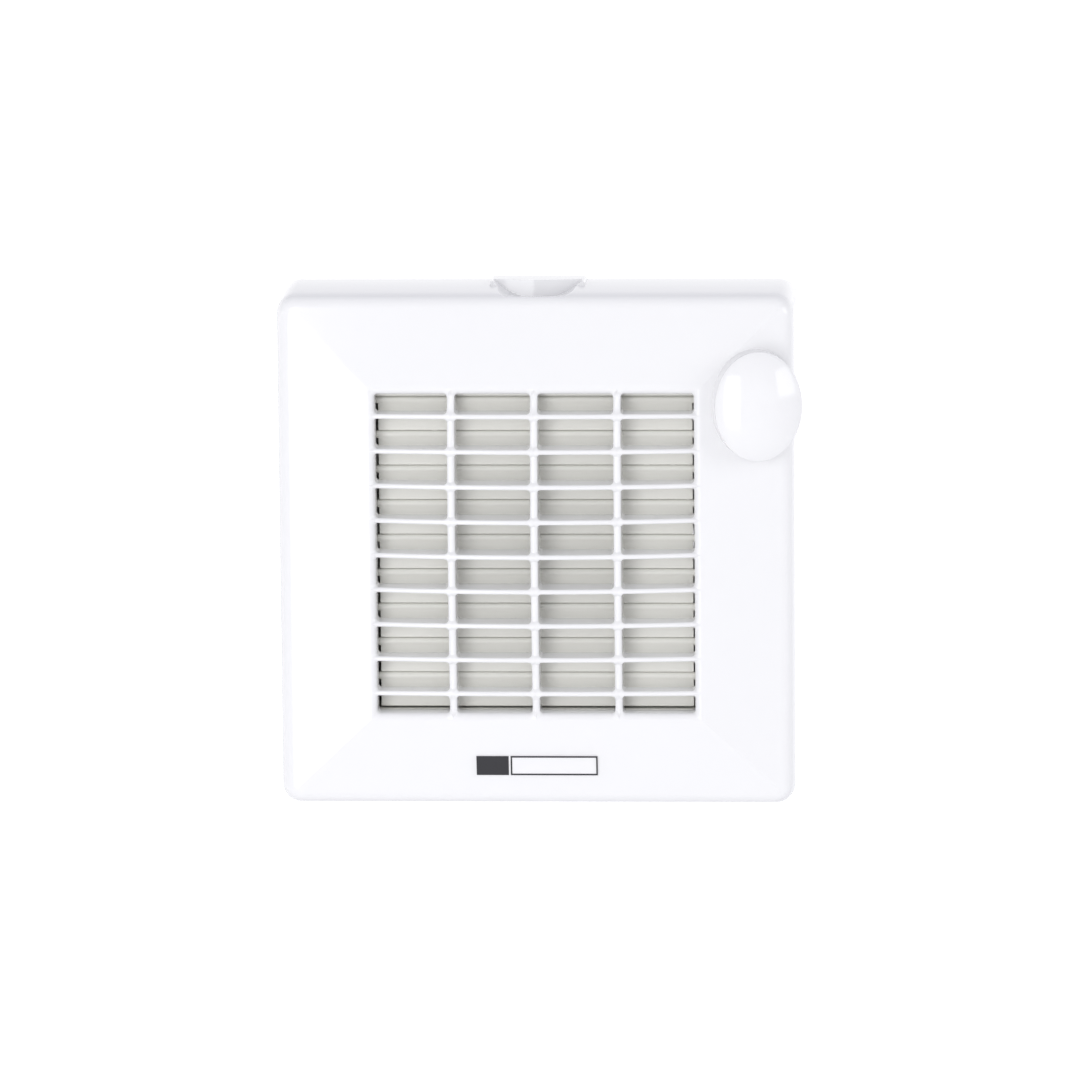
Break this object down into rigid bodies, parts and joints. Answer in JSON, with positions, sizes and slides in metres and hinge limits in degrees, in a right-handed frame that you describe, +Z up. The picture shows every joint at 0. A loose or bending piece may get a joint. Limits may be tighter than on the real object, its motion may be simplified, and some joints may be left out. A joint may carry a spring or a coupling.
{
  "type": "bathroom extractor fan",
  "caption": "Square wall extractor fan for a round duct, with a slatted front cover, linked closing shutters, a thermal actuator and an axial impeller on a small motor.",
  "frame": {"origin": "where the duct axis meets the wall plane, at the back of the wall base", "axes": "+Y into the wall along the duct axis (the fan faces -Y, into the room), +X to the right seen from the room, +Z up"},
  "size_m": [0.1595, 0.1099, 0.1602],
  "materials": {
    "white_abs": "satin white moulding",
    "grey_white_abs": "light grey moulding",
    "shutter_grey": "warm light grey moulding",
    "grey_plastic": "mid grey moulding",
    "dark_plastic": "black moulding",
    "natural_nylon": "natural nylon",
    "badge_black": "dark plate",
    "black_rubber": "soft rubber",
    "zinc_steel": "zinc-plated steel",
    "zinc_sheet": "zinc-plated sheet",
    "cast_alloy": "die-cast alloy",
    "lamination_steel": "oxidised laminations",
    "copper": "enamelled copper",
    "bronze": "sintered bronze"
  },
  "bodies": {
    "base": {"actuator_body": "dark_plastic", "actuator_bracket": "zinc_sheet", "base_plate": "grey_white_abs", "bracket_screw_1": "zinc_steel", "bracket_screw_2": "zinc_steel", "cable_grommet": "black_rubber", "clamp_screw_1": "zinc_steel", "clamp_screw_2": "zinc_steel", "coil_bobbin": "natural_nylon", "coil_winding": "copper", "cord_clamp": "grey_white_abs", "duct_spigot": "grey_white_abs", "frame_screw_1": "zinc_steel", "frame_screw_2": "zinc_steel", "frame_screw_3": "zinc_steel", "frame_screw_4": "zinc_steel", "front_bearing": "bronze", "front_bearing_bracket": "cast_alloy", "motor_bolt_1": "zinc_steel", "motor_bolt_2": "zinc_steel", "motor_spider": "zinc_sheet", "rear_bearing": "bronze", "rear_bearing_bracket": "cast_alloy", "return_spring": "zinc_steel", "shading_ring_1": "copper", "shading_ring_2": "copper", "shutter_frame": "shutter_grey", "spider_screw_1": "zinc_steel", "spider_screw_2": "zinc_steel", "spider_screw_3": "zinc_steel", "spigot_screw_1": "zinc_steel", "spigot_screw_2": "zinc_steel", "spigot_screw_3": "zinc_steel", "stator_core": "lamination_steel", "terminal_block": "natural_nylon", "terminal_screw": "zinc_steel"},
    "rotor": {"rotor_core": "lamination_steel", "motor_shaft": "zinc_steel", "impeller": "grey_plastic", "impeller_nut": "bronze"},
    "cover": {"front_cover": "white_abs", "front_grille": "white_abs", "corner_dome": "white_abs", "badge": "badge_black"},
    "link": {"link_bar": "natural_nylon"},
    "plunger": {"actuator_plunger": "bronze"},
    "blade_1": {"shutter_1": "shutter_grey"},
    "blade_2": {"shutter_2": "shutter_grey"},
    "blade_3": {"shutter_3": "shutter_grey"},
    "blade_4": {"shutter_4": "shutter_grey"},
    "blade_5": {"shutter_5": "shutter_grey"},
    "blade_6": {"shutter_6": "shutter_grey"},
    "blade_7": {"shutter_7": "shutter_grey"},
    "blade_8": {"shutter_8": "shutter_grey"},
    "blade_9": {"shutter_9": "shutter_grey"}
  },
  "joints": [
    {"name": "rotor_spin", "type": "hinge", "parent": "base", "child": "rotor", "pos_m": [0, 0, 0], "axis": [0, 1, 0], "continuous": true},
    {"name": "cover_pull", "type": "slide", "parent": "base", "child": "cover", "axis": [0, -1, 0], "range_m": [0, 0.06]},
    {"name": "blade_1_swing", "type": "hinge", "parent": "base", "child": "blade_1", "pos_m": [0, -0.0307, 0.0464], "axis": [1, 0, 0], "range_deg": [0, 75]},
    {"name": "blade_2_swing", "type": "hinge", "parent": "base", "child": "blade_2", "pos_m": [0, -0.0307, 0.0357], "axis": [1, 0, 0], "range_deg": [0, 75]},
    {"name": "blade_3_swing", "type": "hinge", "parent": "base", "child": "blade_3", "pos_m": [0, -0.0307, 0.025], "axis": [1, 0, 0], "range_deg": [0, 75]},
    {"name": "blade_4_swing", "type": "hinge", "parent": "base", "child": "blade_4", "pos_m": [0, -0.0307, 0.0143], "axis": [1, 0, 0], "range_deg": [0, 75]},
    {"name": "blade_5_swing", "type": "hinge", "parent": "base", "child": "blade_5", "pos_m": [0, -0.0307, 0.0036], "axis": [1, 0, 0], "range_deg": [0, 75], "stiffness_Nm_per_rad": 0.02, "springref_deg": -20.05, "deforming": ["return_spring"]},
    {"name": "blade_6_swing", "type": "hinge", "parent": "base", "child": "blade_6", "pos_m": [0, -0.0307, -0.0071], "axis": [1, 0, 0], "range_deg": [0, 75]},
    {"name": "blade_7_swing", "type": "hinge", "parent": "base", "child": "blade_7", "pos_m": [0, -0.0307, -0.0178], "axis": [1, 0, 0], "range_deg": [0, 75]},
    {"name": "blade_8_swing", "type": "hinge", "parent": "base", "child": "blade_8", "pos_m": [0, -0.0307, -0.0285], "axis": [1, 0, 0], "range_deg": [0, 75]},
    {"name": "blade_9_swing", "type": "hinge", "parent": "base", "child": "blade_9", "pos_m": [0, -0.0307, -0.0392], "axis": [1, 0, 0], "range_deg": [0, 75]},
    {"name": "link_turn", "type": "hinge", "parent": "blade_5", "child": "link", "pos_m": [-0.05385, -0.02594, -0.00005], "axis": [1, 0, 0], "range_deg": [-75, 0]},
    {"name": "plunger_push", "type": "slide", "parent": "base", "child": "plunger", "axis": [0, 0, 1], "range_m": [0, 0.0073]}
  ],
  "couplings": [
    {"joint": "blade_1_swing", "follows": "blade_5_swing", "ratio": 1},
    {"joint": "blade_2_swing", "follows": "blade_5_swing", "ratio": 1},
    {"joint": "blade_3_swing", "follows": "blade_5_swing", "ratio": 1},
    {"joint": "blade_4_swing", "follows": "blade_5_swing", "ratio": 1},
    {"joint": "blade_6_swing", "follows": "blade_5_swing", "ratio": 1},
    {"joint": "blade_7_swing", "follows": "blade_5_swing", "ratio": 1},
    {"joint": "blade_8_swing", "follows": "blade_5_swing", "ratio": 1},
    {"joint": "blade_9_swing", "follows": "blade_5_swing", "ratio": 1},
    {"joint": "link_turn", "follows": "blade_5_swing", "ratio": -1},
    {"joint": "plunger_push", "follows": "blade_5_swing", "m_per_rad": 0.0055807}
  ]
}
